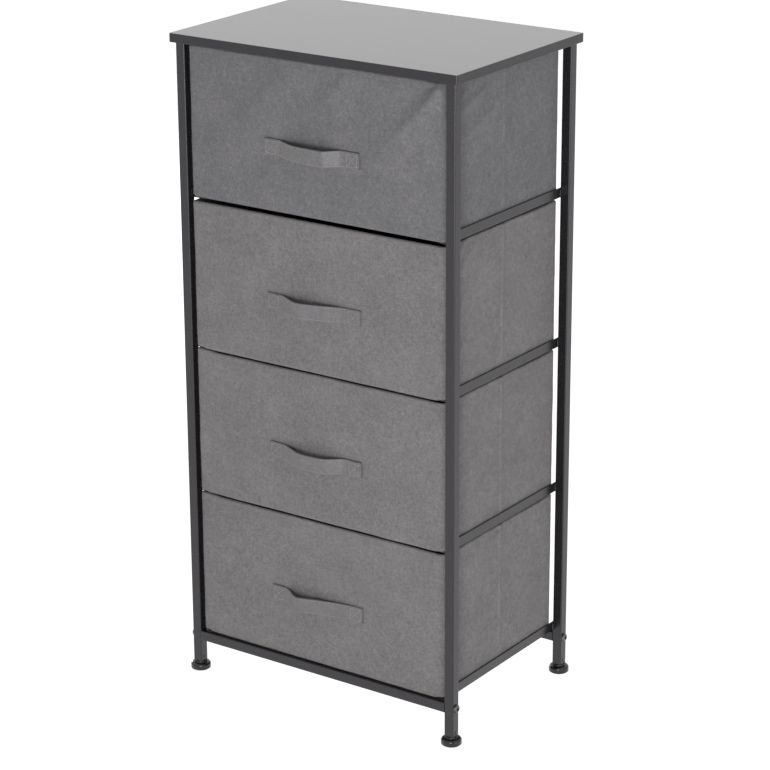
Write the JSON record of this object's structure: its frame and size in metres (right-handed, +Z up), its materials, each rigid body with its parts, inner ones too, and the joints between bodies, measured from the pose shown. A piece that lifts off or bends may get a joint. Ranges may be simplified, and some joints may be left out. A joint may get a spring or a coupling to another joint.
{
  "type": "fabric drawer dresser",
  "caption": "Narrow tower dresser: slim dark tube frame with a thin laminated top, grey fabric bin drawers that slide on bent sheet rails, sewn strap handles and round levelling feet.",
  "frame": {"origin": "on the floor, in the middle of the overall width and depth (feet and strap handles included)", "axes": "+X to the right seen from the front, +Y to the back (drawers open towards -Y), +Z up"},
  "size_m": [0.452, 0.305, 0.91],
  "materials": {
    "top_laminate": "dark charcoal laminate on fibreboard, satin",
    "top_edging": "satin edging strip",
    "frame_paint": "semi-gloss black powder coat on steel",
    "bolt_steel": "black zinc",
    "screw_steel": "zinc plated",
    "nut_plug": "moulded nylon",
    "insert_plastic": "moulded black plastic",
    "foot_plastic": "moulded black plastic, glossy",
    "bin_fabric": "heather grey non-woven polyester",
    "bin_lining": "grey non-woven lining",
    "strap_webbing": "folded grey fabric strap, stitched",
    "stiffener_card": "grey board",
    "base_card": "board covered with grey non-woven"
  },
  "bodies": {
    "frame": {"crossbar_bolts": "bolt_steel", "crossbar_front": "frame_paint", "crossbar_nut_plugs": "nut_plug", "crossbar_rear": "frame_paint", "foot_inserts": "insert_plastic", "post_front_left": "frame_paint", "post_front_right": "frame_paint", "post_rear_left": "frame_paint", "post_rear_right": "frame_paint", "rail_left_1": "frame_paint", "rail_left_2": "frame_paint", "rail_left_3": "frame_paint", "rail_left_4": "frame_paint", "rail_right_1": "frame_paint", "rail_right_2": "frame_paint", "rail_right_3": "frame_paint", "rail_right_4": "frame_paint", "top_board": "top_laminate", "top_edge_band": "top_edging", "top_screws": "screw_steel", "top_strip_left": "frame_paint", "top_strip_right": "frame_paint"},
    "drawer_1": {"drawer_1_back_board": "stiffener_card", "drawer_1_base_board": "base_card", "drawer_1_front_board": "stiffener_card", "drawer_1_left_boards": "stiffener_card", "drawer_1_lining": "bin_lining", "drawer_1_right_boards": "stiffener_card", "drawer_1_skin": "bin_fabric", "drawer_1_strap": "strap_webbing"},
    "drawer_2": {"drawer_2_back_board": "stiffener_card", "drawer_2_base_board": "base_card", "drawer_2_front_board": "stiffener_card", "drawer_2_left_boards": "stiffener_card", "drawer_2_lining": "bin_lining", "drawer_2_right_boards": "stiffener_card", "drawer_2_skin": "bin_fabric", "drawer_2_strap": "strap_webbing"},
    "drawer_3": {"drawer_3_back_board": "stiffener_card", "drawer_3_base_board": "base_card", "drawer_3_front_board": "stiffener_card", "drawer_3_left_boards": "stiffener_card", "drawer_3_lining": "bin_lining", "drawer_3_right_boards": "stiffener_card", "drawer_3_skin": "bin_fabric", "drawer_3_strap": "strap_webbing"},
    "drawer_4": {"drawer_4_back_board": "stiffener_card", "drawer_4_base_board": "base_card", "drawer_4_front_board": "stiffener_card", "drawer_4_left_boards": "stiffener_card", "drawer_4_lining": "bin_lining", "drawer_4_right_boards": "stiffener_card", "drawer_4_skin": "bin_fabric", "drawer_4_strap": "strap_webbing"},
    "foot_front_left": {"foot_front_left": "foot_plastic"},
    "foot_front_right": {"foot_front_right": "foot_plastic"},
    "foot_rear_left": {"foot_rear_left": "foot_plastic"},
    "foot_rear_right": {"foot_rear_right": "foot_plastic"}
  },
  "joints": [
    {"name": "drawer_1_slide", "type": "slide", "parent": "frame", "child": "drawer_1", "axis": [0, -1, 0], "range_m": [0, 0.2]},
    {"name": "drawer_2_slide", "type": "slide", "parent": "frame", "child": "drawer_2", "axis": [0, -1, 0], "range_m": [0, 0.2]},
    {"name": "drawer_3_slide", "type": "slide", "parent": "frame", "child": "drawer_3", "axis": [0, -1, 0], "range_m": [0, 0.2]},
    {"name": "drawer_4_slide", "type": "slide", "parent": "frame", "child": "drawer_4", "axis": [0, -1, 0], "range_m": [0, 0.2]},
    {"name": "foot_front_left_screw", "type": "slide", "parent": "frame", "child": "foot_front_left", "axis": [0, 0, -1], "range_m": [0, 0.008]},
    {"name": "foot_front_right_screw", "type": "slide", "parent": "frame", "child": "foot_front_right", "axis": [0, 0, -1], "range_m": [0, 0.008]},
    {"name": "foot_rear_left_screw", "type": "slide", "parent": "frame", "child": "foot_rear_left", "axis": [0, 0, -1], "range_m": [0, 0.008]},
    {"name": "foot_rear_right_screw", "type": "slide", "parent": "frame", "child": "foot_rear_right", "axis": [0, 0, -1], "range_m": [0, 0.008]}
  ]
}
